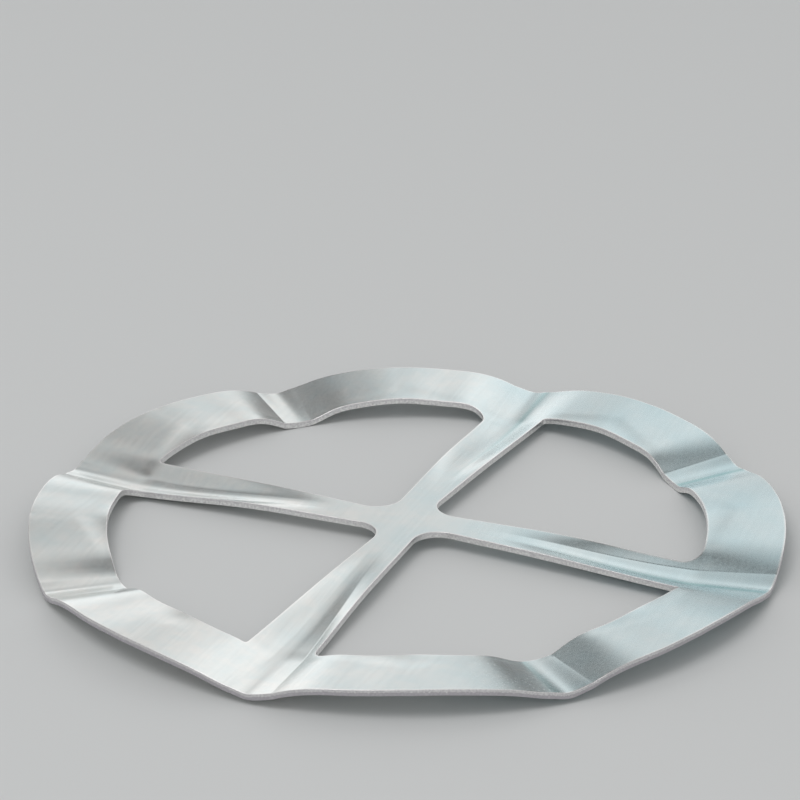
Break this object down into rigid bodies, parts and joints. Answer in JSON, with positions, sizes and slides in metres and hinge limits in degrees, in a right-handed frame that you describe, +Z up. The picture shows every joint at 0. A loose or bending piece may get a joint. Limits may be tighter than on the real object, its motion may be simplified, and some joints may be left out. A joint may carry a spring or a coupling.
{
  "type": "gas hob reducer ring",
  "caption": "Round stamped sheet-steel ring with four spokes and pressed radial pleats, laid on a gas hob's pan support to carry a small pot.",
  "frame": {"origin": "on the ring's axis, level with the lowest underside, where the pleats stand at the windows", "axes": "+Z up along the ring's axis; +X and +Y along two of the four spokes' pleats"},
  "size_m": [0.14, 0.14, 0.0057],
  "materials": {
    "zinc_plated_steel": "bright zinc plate, satin, on cold-rolled sheet"
  },
  "bodies": {
    "root": {"reducer_ring": "zinc_plated_steel"}
  },
  "joints": []
}
